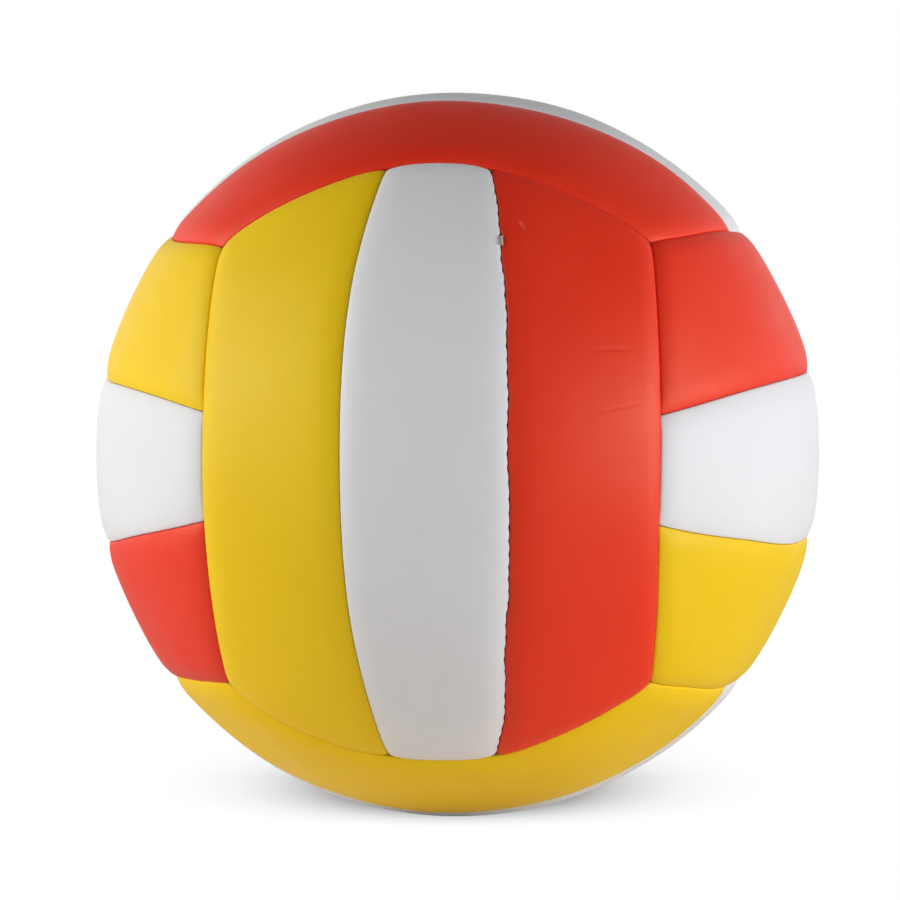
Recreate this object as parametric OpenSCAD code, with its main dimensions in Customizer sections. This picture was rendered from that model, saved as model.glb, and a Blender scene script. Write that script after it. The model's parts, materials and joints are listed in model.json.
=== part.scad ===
// Volleyball with a cover of eighteen padded panels over an inflated bladder.
// The cover is laid out like a cube blown round: six faces of three strips each,
// and the strips of neighbouring faces run square to each other.
// The ball's centre is the origin, +Z is up, the hand-closed seam is in front at -Y,
// and the inflation valve is at the back, at +Y.

/* [Ball] */
// Diameter of the inflated ball, over its panels
ball_d = 213; // [207:0.5:217]

/* [Seam layout] */
// Angle at the ball's centre from the middle of a face to the waist of its long side
waist_angle = 37.5; // [36:0.25:39]
// Angle at the ball's centre from the middle of a face to the seam beside its middle strip
strip_angle = 13; // [12:0.25:14]

/* [Panels] */
// Thickness of the outer skin
skin_t = 1; // [0.8:0.1:1.4]
// Thickness of the foam pad behind the skin
foam_t = 3; // [2:0.25:4.5]
// Thickness of the cloth behind the foam
cloth_t = 0.4; // [0.3:0.1:0.8]
// Gap between the turned-in lips of neighbouring panels
seam_gap = 0.3; // [0.2:0.05:0.5]
// Radius of a panel's rounded edge beside a seam
shoulder_r = 2.2; // [1.6:0.1:2.8]
// Glue line between two layers of a panel
glue_t = 0.15; // [0.1:0.05:0.2]

/* [Thread] */
// Diameter of the thread that shows in a seam
thread_d = 0.6; // [0.5:0.05:0.8]
// Play between the thread and the two shoulders it lies on
thread_play = 0.05; // [0.03:0.01:0.1]
// Length that a thread stops short of the seam it runs up to
thread_stop = 1.6; // [1.2:0.1:2.5]

/* [Bladder] */
// Wall of the rubber bladder
bladder_t = 0.8; // [0.6:0.1:1.2]
// Play between the cover and the bladder, and between the bladder and its patch
bladder_play = 0.15; // [0.1:0.05:0.25]

/* [Valve] */
// Diameter of the valve's collar, where it shows in the cover
collar_d = 11; // [9:0.5:14]
// Play between the collar and the hole in the panel
collar_play = 0.15; // [0.1:0.05:0.25]
// Width of the broken edge of the collar and of the hole round it
rim_round = 0.5; // [0.3:0.1:0.8]
// Diameter of the patch that carries the valve inside the bladder
patch_d = 38; // [32:1:50]
// Thickness of the patch
patch_t = 1; // [0.8:0.1:1.5]
// Diameter of the valve's flange under the patch
flange_d = 24; // [18:1:30]
// Thickness of the flange
flange_t = 1.6; // [1.2:0.1:2.5]
// Diameter of the valve's stem inside the bladder
stem_d = 9; // [8:0.5:12]
// Length of the stem below the flange
stem_l = 8; // [6:0.5:14]
// Diameter of the plug in the valve
plug_d = 5; // [4.5:0.25:6]
// Depth of the plug's top below the ball's surface
plug_sink = 0.6; // [0.4:0.1:1]
// Height that the plug's holding bead stands out of it
bead_h = 0.5; // [0.3:0.1:0.8]
// Depth of the bead below the ball's surface
bead_depth = 5; // [4:0.5:6]
// Play between the plug and its housing
plug_play = 0.1; // [0.05:0.05:0.15]
// Diameter of the bore that the pump's needle goes into
needle_bore_d = 2.2; // [2.1:0.05:2.6]
// Length of the needle bore, from the top of the plug
needle_bore_l = 10; // [8:0.5:11]
// Thickness of the closed end of the plug, which the needle opens
plug_end_t = 2; // [1:0.25:3]
// Width of the lead-in at the mouth of the needle bore
lead_in = 0.4; // [0.2:0.1:0.6]

/* [Hidden] */
$fn = 128;
ball_r = ball_d / 2;
sun_yellow = [0.95, 0.80, 0.18];
signal_red = [0.95, 0.30, 0.20];
chalk_white = [0.93, 0.93, 0.94];
foam_grey = [0.80, 0.80, 0.78];
cloth_grey = [0.70, 0.71, 0.72];
thread_grey = [0.45, 0.45, 0.46];
rubber_black = [0.10, 0.10, 0.11];
valve_grey = [0.86, 0.86, 0.87];

// Each face has its name, the way its middle points, the way its strips run,
// the names of its three strips and their colours.
FACES = [
    ["front", [0, -1, 0], [0, 0, 1], ["left", "middle", "right"],
        [sun_yellow, chalk_white, signal_red]],
    ["back", [0, 1, 0], [0, 0, -1], ["left", "middle", "right"],
        [signal_red, chalk_white, sun_yellow]],
    ["right", [1, 0, 0], [0, -1, 0], ["lower", "middle", "upper"],
        [sun_yellow, chalk_white, signal_red]],
    ["left", [-1, 0, 0], [0, 1, 0], ["lower", "middle", "upper"],
        [signal_red, chalk_white, sun_yellow]],
    ["top", [0, 0, 1], [-1, 0, 0], ["front", "middle", "back"],
        [signal_red, chalk_white, sun_yellow]],
    ["bottom", [0, 0, -1], [1, 0, 0], ["front", "middle", "back"],
        [sun_yellow, chalk_white, signal_red]],
];
FRONT = FACES[0];
BACK = FACES[1];
STRIPS = [0, 1, 2];
LAYERS = ["skin", "foam", "cloth"];

function node_name(face, strip, layer) = str(face[0], "_", face[3][strip], "_", layer);

// Every outer seam is part of a circle on the ball, drawn from corner to corner of two
// faces and through the waist. cap_tilt is how far the circle's axis leans away from the
// middle of the face that the circle closes off, and cap_angle is the circle's half angle.
corner_share = 1 / sqrt(3);
cap_tilt = atan((sin(waist_angle) - corner_share) / (cos(waist_angle) - corner_share));
cap_angle = 90 - waist_angle + cap_tilt;
// Half the sweep of an outer seam about its circle's axis, up to the corners
outer_sweep = atan(1 / (cos(cap_tilt) + sin(cap_tilt)));
// Half the sweep of a seam between two strips, up to the outer seams at its ends
strip_reach = norm([cos(cap_tilt) * cos(strip_angle), sin(cap_tilt)]);
strip_lean = atan(tan(cap_tilt) / cos(strip_angle));
strip_sweep = acos(cos(cap_angle) / strip_reach) - strip_lean;

// The lips stand along a cone through the seam's circle. Its tip lies a little off the
// ball's centre, along the circle's axis, so no two seams' cones share a tip.
tip_share = 0.05;
tip_rise = tip_share * ball_r;
wall_angle = atan(sin(cap_angle) / (cos(cap_angle) - tip_share));
wall_l = ball_r * sin(cap_angle) / sin(wall_angle);

// Depths of the layers, as radii of the ball
skin_in = ball_r - skin_t;
foam_out = skin_in - glue_t;
foam_in = foam_out - foam_t;
cloth_out = foam_in - glue_t;
cloth_in = cloth_out - cloth_t;
bladder_out = cloth_in - bladder_play;
bladder_in = bladder_out - bladder_t;
patch_out = bladder_in - bladder_play;
patch_in = patch_out - patch_t;
flange_out = patch_in - glue_t;
flange_in = flange_out - flange_t;
stem_end = flange_in - stem_l;

// Distance of each layer's edge from the middle of its seam
lip_inset = seam_gap / 2;
tray_inset = lip_inset + skin_t;
pad_inset = tray_inset + glue_t;

// A shoulder's circle runs a little past the lip and the surface, and meets them at this
// angle. Its groove runs past the ends of its seam, to round the panels' corners.
shoulder_break = 16;
shoulder_in = shoulder_r * cos(shoulder_break);
shoulder_side = lip_inset + shoulder_in;
groove_past = 2 * shoulder_side;
thread_seat = shoulder_r + thread_d / 2 + thread_play;
thread_depth = shoulder_in - sqrt(thread_seat * thread_seat - shoulder_side * shoulder_side);

// How far cutting shapes run past what they cut
overrun_share = 0.02;
overrun = overrun_share * ball_d;

// The valve: its hole in the panels, its plug's place, and the stem's broken end
panel_hole_d = collar_d + 2 * collar_play;
plug_top = ball_r - plug_sink;
plug_bottom = plug_top - needle_bore_l - plug_end_t;
bead_z = ball_r - bead_depth;
socket_d = plug_d + 2 * plug_play;
stem_round_share = 0.25;
stem_round = stem_round_share * (stem_d - socket_d);

// Stands its children on a face: their +Z points out of the face and +Y runs along its strips
module on_face(face) {
    out = face[1];
    along = face[2];
    across = cross(along, out);
    multmatrix([
        [across.x, along.x, out.x, 0],
        [across.y, along.y, out.y, 0],
        [across.z, along.z, out.z, 0],
        [0, 0, 0, 1],
    ]) children();
}

module hollow_ball(outer, inner) {
    difference() {
        sphere(r = outer);
        sphere(r = inner);
    }
}

// A cone whose wall stands the given distance inside the wall through an outer seam. The
// seam's middle is at +X, and the line where the cone's own surface closes is at -X.
module seam_cone(inset) {
    cone_h = ball_r + overrun;
    rotate(180) translate([0, 0, tip_rise + inset / sin(wall_angle)])
        cylinder(h = cone_h, r1 = 0, r2 = cone_h * tan(wall_angle));
}

// Everything beyond the seam at -X of the middle strip, past the given distance
module beyond_strip_seam(distance) {
    reach = ball_r + overrun;
    rotate([0, -strip_angle, 0])
        translate([-2 * reach - distance, -reach, -reach])
            cube([2 * reach, 2 * reach, 2 * reach]);
}

// Keeps what lies the given distance inside the seams of the middle strip, or of the
// side strip at -X
module within_strip(middle, inset) {
    difference() {
        intersection() {
            children();
            at_end_seam(1) seam_cone(inset);
            at_end_seam(-1) seam_cone(inset);
            if (!middle) beyond_strip_seam(inset);
        }
        if (middle) {
            beyond_strip_seam(-inset);
            mirror([1, 0, 0]) beyond_strip_seam(-inset);
        } else {
            at_side_seam() seam_cone(-inset);
        }
    }
}

// Stands a strip on its face. Side strips are modelled at -X, and the twin at +X is a mirror image.
module on_strip(face, strip) {
    on_face(face) {
        if (strip == 2) mirror([1, 0, 0]) children();
        else children();
    }
}

// Outline of the open groove between two rounded shoulders, with the ball's surface at x = 0
module groove_outline() {
    difference() {
        translate([-shoulder_in, -shoulder_side])
            square([shoulder_in + overrun, 2 * shoulder_side]);
        for (side = [-1, 1]) {
            translate([-shoulder_in, side * shoulder_side]) circle(r = shoulder_r);
        }
    }
}

// Takes an outline to where an outer seam's wall meets the ball's surface
module at_outer_seam() {
    translate([0, tip_rise]) rotate(90 - wall_angle) translate([wall_l, 0]) children();
}

// Sweeps an outline along an outer seam, whose middle is at +X, and a length past its ends
module along_outer_seam(past) {
    half = outer_sweep + past / (ball_r * sin(cap_angle)) * 180 / PI;
    rotate(-half) rotate_extrude(angle = 2 * half) at_outer_seam() children();
}

// Sweeps an outline along a seam between two strips, whose middle is at +X
module along_strip_seam(past) {
    half = strip_sweep + past / ball_r * 180 / PI;
    rotate(-half) rotate_extrude(angle = 2 * half) translate([ball_r, 0]) children();
}

// Turn what is swept along a seam into place: a face's end seam, the long side at -X
// that its neighbour's end seam makes, and the seam beside its middle strip
module at_end_seam(end) {
    rotate([end * cap_tilt, 0, 0]) rotate(end * 90) children();
}

module at_side_seam() {
    rotate([0, -90 - cap_tilt, 0]) children();
}

module at_strip_seam(side) {
    rotate([0, side * strip_angle - 90, 0]) children();
}

// Rounds the two end edges of a strip off
module rounded_ends() {
    difference() {
        children();
        for (end = [-1, 1]) at_end_seam(end) along_outer_seam(groove_past) groove_outline();
    }
}

// Rounds the two long edges of a strip off
module rounded_sides(middle) {
    difference() {
        children();
        at_strip_seam(-1) along_strip_seam(groove_past) groove_outline();
        if (middle) at_strip_seam(1) along_strip_seam(groove_past) groove_outline();
        else at_side_seam() along_outer_seam(groove_past) groove_outline();
    }
}

module valve_hole(diameter) {
    cylinder(h = ball_r + overrun, d = diameter);
}

// The hole in the skin is opened out at its edge
module skin_hole() {
    valve_hole(panel_hole_d);
    edge_z = sqrt(ball_r * ball_r - panel_hole_d * panel_hole_d / 4);
    translate([0, 0, edge_z - rim_round])
        cylinder(h = 2 * rim_round, d1 = panel_hole_d, d2 = panel_hole_d + 4 * rim_round);
}

// A panel's skin is a shallow tray: its edges are turned in beside the foam, down to the cloth
module skin(face, strip) {
    middle = strip == 1;
    color(face[4][strip]) on_strip(face, strip) difference() {
        rounded_sides(middle) rounded_ends()
            within_strip(middle, lip_inset) hollow_ball(ball_r, cloth_in);
        within_strip(middle, tray_inset) hollow_ball(skin_in, cloth_in - overrun);
        if (face == BACK && middle) skin_hole();
    }
}

// The foam pad and the cloth lie inside the tray
module pad(face, strip, outer, inner) {
    middle = strip == 1;
    on_strip(face, strip) difference() {
        within_strip(middle, pad_inset) hollow_ball(outer, inner);
        if (face == BACK && middle) valve_hole(panel_hole_d);
    }
}

module panel_layer(face, strip, layer) {
    if (layer == "skin") skin(face, strip);
    if (layer == "foam") color(foam_grey) pad(face, strip, foam_out, foam_in);
    if (layer == "cloth") color(cloth_grey) pad(face, strip, cloth_out, cloth_in);
}

// Thread lies in the bottom of a groove and stops short of the seams at its ends
module thread_outline() {
    translate([-thread_depth, 0]) circle(d = thread_d);
}

module end_seam_thread(face, end) {
    on_face(face) at_end_seam(end) along_outer_seam(-thread_stop) thread_outline();
}

module strip_seam_thread(face, side) {
    on_face(face) at_strip_seam(side) along_strip_seam(-thread_stop) thread_outline();
}

// Machine-sewn thread in every seam but the one that is closed by hand
module seam_thread() {
    color(thread_grey) for (face = FACES) {
        for (end = [-1, 1]) end_seam_thread(face, end);
        strip_seam_thread(face, -1);
        if (face != FRONT) strip_seam_thread(face, 1);
    }
}

// The last seam is closed by hand from outside, between the front's middle and right strips
module closing_thread() {
    color(chalk_white) strip_seam_thread(FRONT, 1);
}

module bladder() {
    color(rubber_black) difference() {
        hollow_ball(bladder_out, bladder_in);
        on_face(BACK) valve_hole(panel_hole_d);
    }
}

// Outline of a disc that follows the ball's curve, from the axis at +Y out to a radius
module curved_disc_outline(outer, inner, diameter) {
    intersection() {
        difference() {
            circle(r = outer);
            circle(r = inner);
        }
        square([diameter / 2, ball_r]);
    }
}

module valve_patch() {
    color(rubber_black) on_face(BACK) rotate_extrude() difference() {
        curved_disc_outline(patch_out, patch_in, patch_d);
        square([panel_hole_d / 2, ball_r]);
    }
}

// Outline of a bead round the plug, or of the groove that it snaps into
module bead_outline(reach) {
    polygon([
        [0, bead_z - 2 * reach],
        [plug_d / 2, bead_z - 2 * reach],
        [plug_d / 2 + reach, bead_z],
        [plug_d / 2, bead_z + 2 * reach],
        [0, bead_z + 2 * reach],
    ]);
}

// Outline of the collar: it fills the panel's hole and is flush with the ball, with its rim broken
module collar_outline() {
    edge_z = sqrt(ball_r * ball_r - collar_d * collar_d / 4);
    rim = collar_d / 2 - rim_round;
    intersection() {
        circle(r = ball_r);
        polygon([
            [0, flange_in],
            [collar_d / 2, flange_in],
            [collar_d / 2, edge_z - rim_round],
            [rim, edge_z],
            [rim, ball_r + overrun],
            [0, ball_r + overrun],
        ]);
    }
}

// Collar, flange and stem are one moulding, bored through for the plug
module valve_housing() {
    color(valve_grey) on_face(BACK) rotate_extrude() difference() {
        union() {
            curved_disc_outline(flange_out, flange_in, flange_d);
            collar_outline();
            polygon([
                [0, stem_end],
                [stem_d / 2 - stem_round, stem_end],
                [stem_d / 2, stem_end + stem_round],
                [stem_d / 2, flange_in],
                [0, flange_in],
            ]);
        }
        square([socket_d / 2, ball_r + overrun]);
        bead_outline(bead_h + plug_play);
        polygon([
            [0, plug_top],
            [socket_d / 2, plug_top],
            [socket_d / 2 + plug_sink, ball_r + overrun],
            [0, ball_r + overrun],
        ]);
    }
}

// The plug is held by its bead, and its blind bore takes the needle
module valve_plug() {
    color(rubber_black) on_face(BACK) rotate_extrude() difference() {
        union() {
            translate([0, plug_bottom]) square([plug_d / 2, plug_top - plug_bottom]);
            bead_outline(bead_h);
        }
        translate([0, plug_top - needle_bore_l])
            square([needle_bore_d / 2, needle_bore_l + overrun]);
        polygon([
            [0, plug_top - lead_in],
            [needle_bore_d / 2, plug_top - lead_in],
            [needle_bore_d / 2 + lead_in, plug_top],
            [needle_bore_d / 2 + lead_in, plug_top + overrun],
            [0, plug_top + overrun],
        ]);
    }
}

for (face = FACES) for (strip = STRIPS) for (layer = LAYERS) {
    panel_layer(face, strip, layer);
}
seam_thread();
closing_thread();
bladder();
valve_patch();
valve_housing();
valve_plug();
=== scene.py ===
import json
import math
from functools import partial

import bmesh
import bpy
import numpy as np
from mathutils import Matrix, Vector

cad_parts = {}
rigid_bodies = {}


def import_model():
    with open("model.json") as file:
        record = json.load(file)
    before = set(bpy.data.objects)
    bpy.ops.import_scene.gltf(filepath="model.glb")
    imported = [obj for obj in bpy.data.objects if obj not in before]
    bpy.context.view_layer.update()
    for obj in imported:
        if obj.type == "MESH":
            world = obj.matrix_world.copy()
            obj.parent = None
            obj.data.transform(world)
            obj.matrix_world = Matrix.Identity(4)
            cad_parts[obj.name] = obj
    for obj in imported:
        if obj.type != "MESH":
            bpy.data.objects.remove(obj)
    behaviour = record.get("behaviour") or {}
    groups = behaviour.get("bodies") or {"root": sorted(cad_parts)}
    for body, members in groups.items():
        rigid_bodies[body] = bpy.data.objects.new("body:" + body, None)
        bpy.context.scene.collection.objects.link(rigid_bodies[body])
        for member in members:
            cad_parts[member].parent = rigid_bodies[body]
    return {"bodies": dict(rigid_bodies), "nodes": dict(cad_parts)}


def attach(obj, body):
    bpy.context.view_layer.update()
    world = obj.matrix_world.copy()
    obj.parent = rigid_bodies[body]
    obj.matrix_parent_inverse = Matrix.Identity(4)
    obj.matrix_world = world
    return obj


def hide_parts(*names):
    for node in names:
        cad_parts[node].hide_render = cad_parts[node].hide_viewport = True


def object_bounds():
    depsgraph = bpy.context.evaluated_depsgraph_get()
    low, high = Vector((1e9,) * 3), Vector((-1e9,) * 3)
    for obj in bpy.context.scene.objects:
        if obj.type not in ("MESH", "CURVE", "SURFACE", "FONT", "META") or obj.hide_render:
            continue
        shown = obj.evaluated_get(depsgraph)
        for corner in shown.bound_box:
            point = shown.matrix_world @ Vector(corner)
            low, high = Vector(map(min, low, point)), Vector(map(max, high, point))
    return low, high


# A volleyball: eighteen padded panels sewn together over a bladder with a valve.
# The ball's centre is the origin, +Z is up, the front is at -Y and the valve at +Y.

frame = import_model()
cad_low, cad_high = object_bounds()

MM = 0.001
BALL_R = (cad_high.z - cad_low.z) / 2

# Seam layout

# Angles at the ball's centre from the middle of a face: to the waist of its long side,
# and to the seam beside its middle strip
WAIST = math.radians(37.9)
STRIP = math.radians(13.1)

CORNER_SHARE = 1 / math.sqrt(3)
TILT = math.atan((math.sin(WAIST) - CORNER_SHARE) / (math.cos(WAIST) - CORNER_SHARE))
CAP = math.pi / 2 - WAIST + TILT
OUTER_SWEEP = math.atan(1 / (math.cos(TILT) + math.sin(TILT)))
STRIP_SWEEP = math.acos(
    math.cos(CAP) / math.hypot(math.cos(TILT) * math.cos(STRIP), math.sin(TILT))
) - math.atan(math.tan(TILT) / math.cos(STRIP))
LEAN = math.tan(STRIP) * math.sin(TILT)
STRIP_END = math.atan(LEAN) + math.asin(
    math.tan(STRIP) * math.cos(TILT) / math.tan(CAP) / math.hypot(1, LEAN)
)

# Each face: the way its middle points, the way its strips run, the strips' names from
# the -across side, and their colours
FACES = {
    "front": ((0, -1, 0), (0, 0, 1), ("left", "middle", "right"), ("yellow", "white", "red")),
    "back": ((0, 1, 0), (0, 0, -1), ("left", "middle", "right"), ("red", "white", "yellow")),
    "right": ((1, 0, 0), (0, -1, 0), ("lower", "middle", "upper"), ("yellow", "white", "red")),
    "left": ((-1, 0, 0), (0, 1, 0), ("lower", "middle", "upper"), ("red", "white", "yellow")),
    "top": ((0, 0, 1), (-1, 0, 0), ("front", "middle", "back"), ("red", "white", "yellow")),
    "bottom": ((0, 0, -1), (1, 0, 0), ("front", "middle", "back"), ("yellow", "white", "red")),
}
MINUS_SIDE, MIDDLE, PLUS_SIDE = 0, 1, 2

# Panel sizes

LIP_INSET = 0.06 * MM
LIP_DEPTH = 4.7 * MM
EDGE_R = 0.45 * MM
SKIN_T = 1.0 * MM
GLUE = 0.15 * MM
FOAM_DEPTH = 4.15 * MM
CLOTH_TOP = 4.3 * MM
PAD_INSET = LIP_INSET + SKIN_T + GLUE
PAD_UNDER_SKIN = SKIN_T + GLUE
PAD_CORNER = 0.35 * MM
PAD_UNDER_CORNER = 0.3 * MM
CLOTH_CORNER = 0.02 * MM

# The mesh's lines that follow a seam: depths down the lip, turns round the skin's edge, and
# distances from the seam on the flat, of which the layers under the skin have the last four
LIP_LINES = np.array([LIP_DEPTH, 3.6 * MM, 2.5 * MM])
EDGE_TURNS = np.radians([0, 18, 36, 54, 72])
FLAT_LINES = np.array([0.75, 1.1, 1.6, 2.3, 3.2, 4.4, 6.0]) * MM
PAD_LINES = FLAT_LINES[3:]
LEAST_STEP = 0.02 * MM
# Rounds in which the lines' places and the widths that they depend on are fitted together
FITTING_ROUNDS = 3

# How the pressure swells the cover and how it falls from there towards a seam, and how the
# middle of a panel lies a little lower than the swell beside its seams
RISE = 0.3 * MM
FALL = 1.3 * MM
FALL_REACH = 2.9 * MM
MIDDLE_LOW = 0.3 * MM
MIDDLE_FROM = 6 * MM
MIDDLE_TO = 22 * MM

STITCH_PITCH = 3.4 * MM
PUCKER = 0.07 * MM


def face_axes(face):
    """The face's across, along and out directions, as rows."""
    out, along = np.array(FACES[face][0], float), np.array(FACES[face][1], float)
    return np.stack([np.cross(along, out), along, out])


# Seams on the unit sphere


def strip_seam(angle, sweep):
    """The seam that lies at an angle beside the middle, as points of a face's own frame."""
    across = np.sin(angle) * np.cos(sweep)
    out = np.cos(angle) * np.cos(sweep)
    return np.stack([across, np.sin(sweep), out], axis=-1)


def end_seam(end, sweep):
    """The seam across a face's +along or -along end. Its sweep grows towards +across."""
    ring = math.sin(CAP) * np.cos(sweep)
    across = math.sin(CAP) * np.sin(sweep)
    along = end * (ring * math.cos(TILT) - math.cos(CAP) * math.sin(TILT))
    out = ring * math.sin(TILT) + math.cos(CAP) * math.cos(TILT)
    return np.stack([across, along, out], axis=-1)


def side_seam(side, sweep):
    """The long side of a face, which is its neighbour's end seam. Its sweep grows along +along."""
    ring = math.sin(CAP) * np.cos(sweep)
    across = side * (ring * math.sin(TILT) + math.cos(CAP) * math.cos(TILT))
    out = ring * math.cos(TILT) - math.cos(CAP) * math.sin(TILT)
    return np.stack([across, math.sin(CAP) * np.sin(sweep), out], axis=-1)


def strip_outline(strip):
    """The four seams round a strip, as functions of the share of the way along each."""

    def beside_middle(side):
        return lambda share: strip_seam(side * STRIP, (2 * share - 1) * STRIP_SWEEP)

    def long_side(side):
        return lambda share: side_seam(side, (2 * share - 1) * OUTER_SWEEP)

    def across_end(end, start, stop):
        return lambda share: end_seam(end, start + (stop - start) * share)

    minus, plus = {
        MINUS_SIDE: (long_side(-1), beside_middle(-1)),
        MIDDLE: (beside_middle(-1), beside_middle(1)),
        PLUS_SIDE: (beside_middle(1), long_side(1)),
    }[strip]
    start, stop = {
        MINUS_SIDE: (-OUTER_SWEEP, -STRIP_END),
        MIDDLE: (-STRIP_END, STRIP_END),
        PLUS_SIDE: (STRIP_END, OUTER_SWEEP),
    }[strip]
    return minus, plus, across_end(-1, start, stop), across_end(1, start, stop)


def blend_seams(outline, u, v):
    """Points of the unit sphere at shares u across and v along the patch between four seams."""
    minus, plus, low, high = outline
    u3, v3 = u[..., None], v[..., None]
    none, full = np.zeros_like(u), np.ones_like(u)
    ruled = (1 - u3) * minus(v) + u3 * plus(v) + (1 - v3) * low(u) + v3 * high(u)
    corners = (1 - v3) * ((1 - u3) * low(none) + u3 * low(full)) + v3 * (
        (1 - u3) * high(none) + u3 * high(full)
    )
    points = ruled - corners
    return points / np.linalg.norm(points, axis=-1, keepdims=True)


def arc_between(a, b):
    """Length on the ball between points of the unit sphere."""
    return np.arccos(np.clip((a * b).sum(-1), -1, 1)) * BALL_R


# Slow unevenness of a sewn ball


def slow_waves(seed, wavelength, count=7):
    """A smooth uneven field over space, about -1 to 1, the same at each run."""
    rng = np.random.default_rng(seed)
    ways = rng.normal(size=(count, 3))
    ways *= 2 * math.pi / wavelength / np.linalg.norm(ways, axis=1, keepdims=True)
    starts = rng.uniform(0, 2 * math.pi, count)
    return lambda points: np.sin(points @ ways.T + starts).sum(-1) / math.sqrt(count)


WANDER = 0.3 * MM
WANDERS = [slow_waves(seed, 75 * MM) for seed in (11, 12, 13)]
SWELL = 0.1 * MM
SWELLS = slow_waves(21, 42 * MM)

# Where the sewing pulled the seams in view off their even layout: the place, in degrees
# beside the front's middle and up from it, the shift there in mm to the right and up the
# surface, and how many mm around it the shift reaches
PULLS = (
    ((-45, 35), (-2.2, 1.2), 20),
    ((45, 35), (1.0, 1.7), 20),
    ((-45, -35), (-1.6, -2.6), 20),
    ((45, -35), (1.0, -2.1), 18),
    ((42, -41), (0.0, 0.9), 10),
    ((6, 52), (0.0, 2.9), 22),
    ((-15, 50), (0.0, 1.7), 20),
    ((8, -52), (0.0, -2.4), 22),
    ((-24, -47), (0.0, -3.1), 22),
    ((-44, -44), (0.0, -3.3), 15),
    ((-49, -37), (-1.5, 1.1), 9),
    ((-38, 46), (0.0, 0.8), 16),
    ((13, -43), (2.7, 0.0), 18),
    ((13, 0), (-0.5, 0.0), 24),
    ((13, 28), (0.5, 0.0), 16),
    ((13, 46), (0.6, 0.0), 18),
    ((16, -54), (1.0, -1.1), 9),
    ((-13, -34), (0.6, 0.0), 20),
    ((-13, 36), (-0.4, 0.0), 24),
    ((-14, -54), (0.3, -0.7), 10),
    ((-38, 22), (-0.7, 0.0), 24),
    ((38, -10), (-0.25, 0.0), 40),
    ((41, -22), (0.5, 0.0), 16),
    ((45, -12), (0.0, -1.85), 28),
    ((72, -12), (0.0, -1.85), 28),
    ((-45, -12), (0.0, -0.65), 28),
    ((-72, -12), (0.0, -1.6), 28),
    ((-50, 12), (0.0, 0.8), 22),
    ((-76, 12), (0.0, -1.0), 16),
    ((68, 38), (0.0, 2.1), 24),
    ((-70, 38), (0.0, -1.2), 20),
    ((70, -38), (0.0, -3.8), 26),
    ((-65, -61), (-4.5, -1.9), 30),
    ((-17, -76), (-0.9, -3.0), 28),
    ((58, -66), (2.7, -1.4), 28),
    ((73, -52), (4.0, -1.0), 20),
    ((58, 66), (2.4, 1.4), 30),
    ((73, 52), (3.4, 0.8), 20),
    ((-17, 76), (-0.4, 1.4), 28),
    ((-69, 57), (-3.7, 1.2), 30),
)


def front_place(beside, up):
    """Direction to a place on the front, and the directions right and up along the surface."""
    axes = face_axes("front")
    out = (math.sin(beside) * math.cos(up), math.sin(up), math.cos(beside) * math.cos(up))
    right = (math.cos(beside), 0, -math.sin(beside))
    upward = (-math.sin(beside) * math.sin(up), math.cos(up), -math.cos(beside) * math.sin(up))
    return [np.array(way) @ axes for way in (out, right, upward)]


def sewing_pulls(out):
    """Shift of the surface at directions from the ball's centre."""
    shift = 0 * out
    for (beside, up), (to_right, upwards), reach in PULLS:
        middle, right, upward = front_place(math.radians(beside), math.radians(up))
        away = BALL_R * np.linalg.norm(out - middle, axis=-1, keepdims=True)
        pull = MM * (to_right * right + upwards * upward)
        shift = shift + pull * np.exp(-((away / (reach * MM)) ** 2))
    return shift


def made_uneven(points):
    """Lets the seams wander a little and the surface swell and sink a little."""
    radius = np.linalg.norm(points, axis=-1, keepdims=True)
    out = points / radius
    shift = sewing_pulls(out) + WANDER * np.stack([wave(points) for wave in WANDERS], axis=-1)
    shift -= out * (shift * out).sum(-1, keepdims=True)
    near_skin = np.clip(radius / BALL_R, 0, 1)
    moved = points + shift * near_skin
    moved *= radius / np.linalg.norm(moved, axis=-1, keepdims=True)
    return moved + out * SWELL * SWELLS(points)[..., None]


# The hand-closed seam

CLOSING_PITCH = 3.9 * MM
PITCH_WANDER = 1.2 * MM
# How far each side's edge bows between the stitches, and the share of a bow at which the
# edge is on the seam's own line
WHITE_SCALLOP, WHITE_ON_LINE = 0.3 * MM, 1.05
RED_SCALLOP, RED_ON_LINE = 0.12 * MM, 0.5
CLOSING_WOBBLE = 0.16 * MM
CLOSING_REACH = 1.3 * MM
KNOT_HOLE = 0.35 * MM
KNOT_HOLE_R = 0.7 * MM
KNOT_HOLE_SWEEP = math.radians(37.6)
CLOSING_WAVES = slow_waves(31, 9 * MM)
PITCH_WAVES = slow_waves(32, 30 * MM)


def closing_seam_scallops(local):
    """Moves a front panel's points sideways near the seam that is closed by hand."""
    radius = np.linalg.norm(local, axis=-1)
    across, out = local[..., 0], local[..., 2]
    beside = (np.arctan2(across, out) - STRIP) * np.hypot(across, out)
    along = np.arcsin(local[..., 1] / radius) * BALL_R
    line = np.stack([0 * along, along, 0 * along], axis=-1)
    stitch = (along + PITCH_WANDER * PITCH_WAVES(line)) / CLOSING_PITCH
    bow = np.abs(np.sin(math.pi * stitch))
    wobble = CLOSING_WOBBLE * CLOSING_WAVES(line)
    hole = KNOT_HOLE * np.exp(-(((along - BALL_R * KNOT_HOLE_SWEEP) / KNOT_HOLE_R) ** 2))
    white = wobble + WHITE_SCALLOP * (bow - WHITE_ON_LINE) - hole
    red = wobble - RED_SCALLOP * (bow - RED_ON_LINE) + hole
    near = np.exp(-((beside / CLOSING_REACH) ** 2))
    shift = np.where(beside < 0, white, red) * near
    moved = local.copy()
    moved[..., 0] += shift * math.cos(STRIP)
    moved[..., 2] -= shift * math.sin(STRIP)
    return moved * (radius / np.linalg.norm(moved, axis=-1))[..., None]


# Panel profiles


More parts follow.
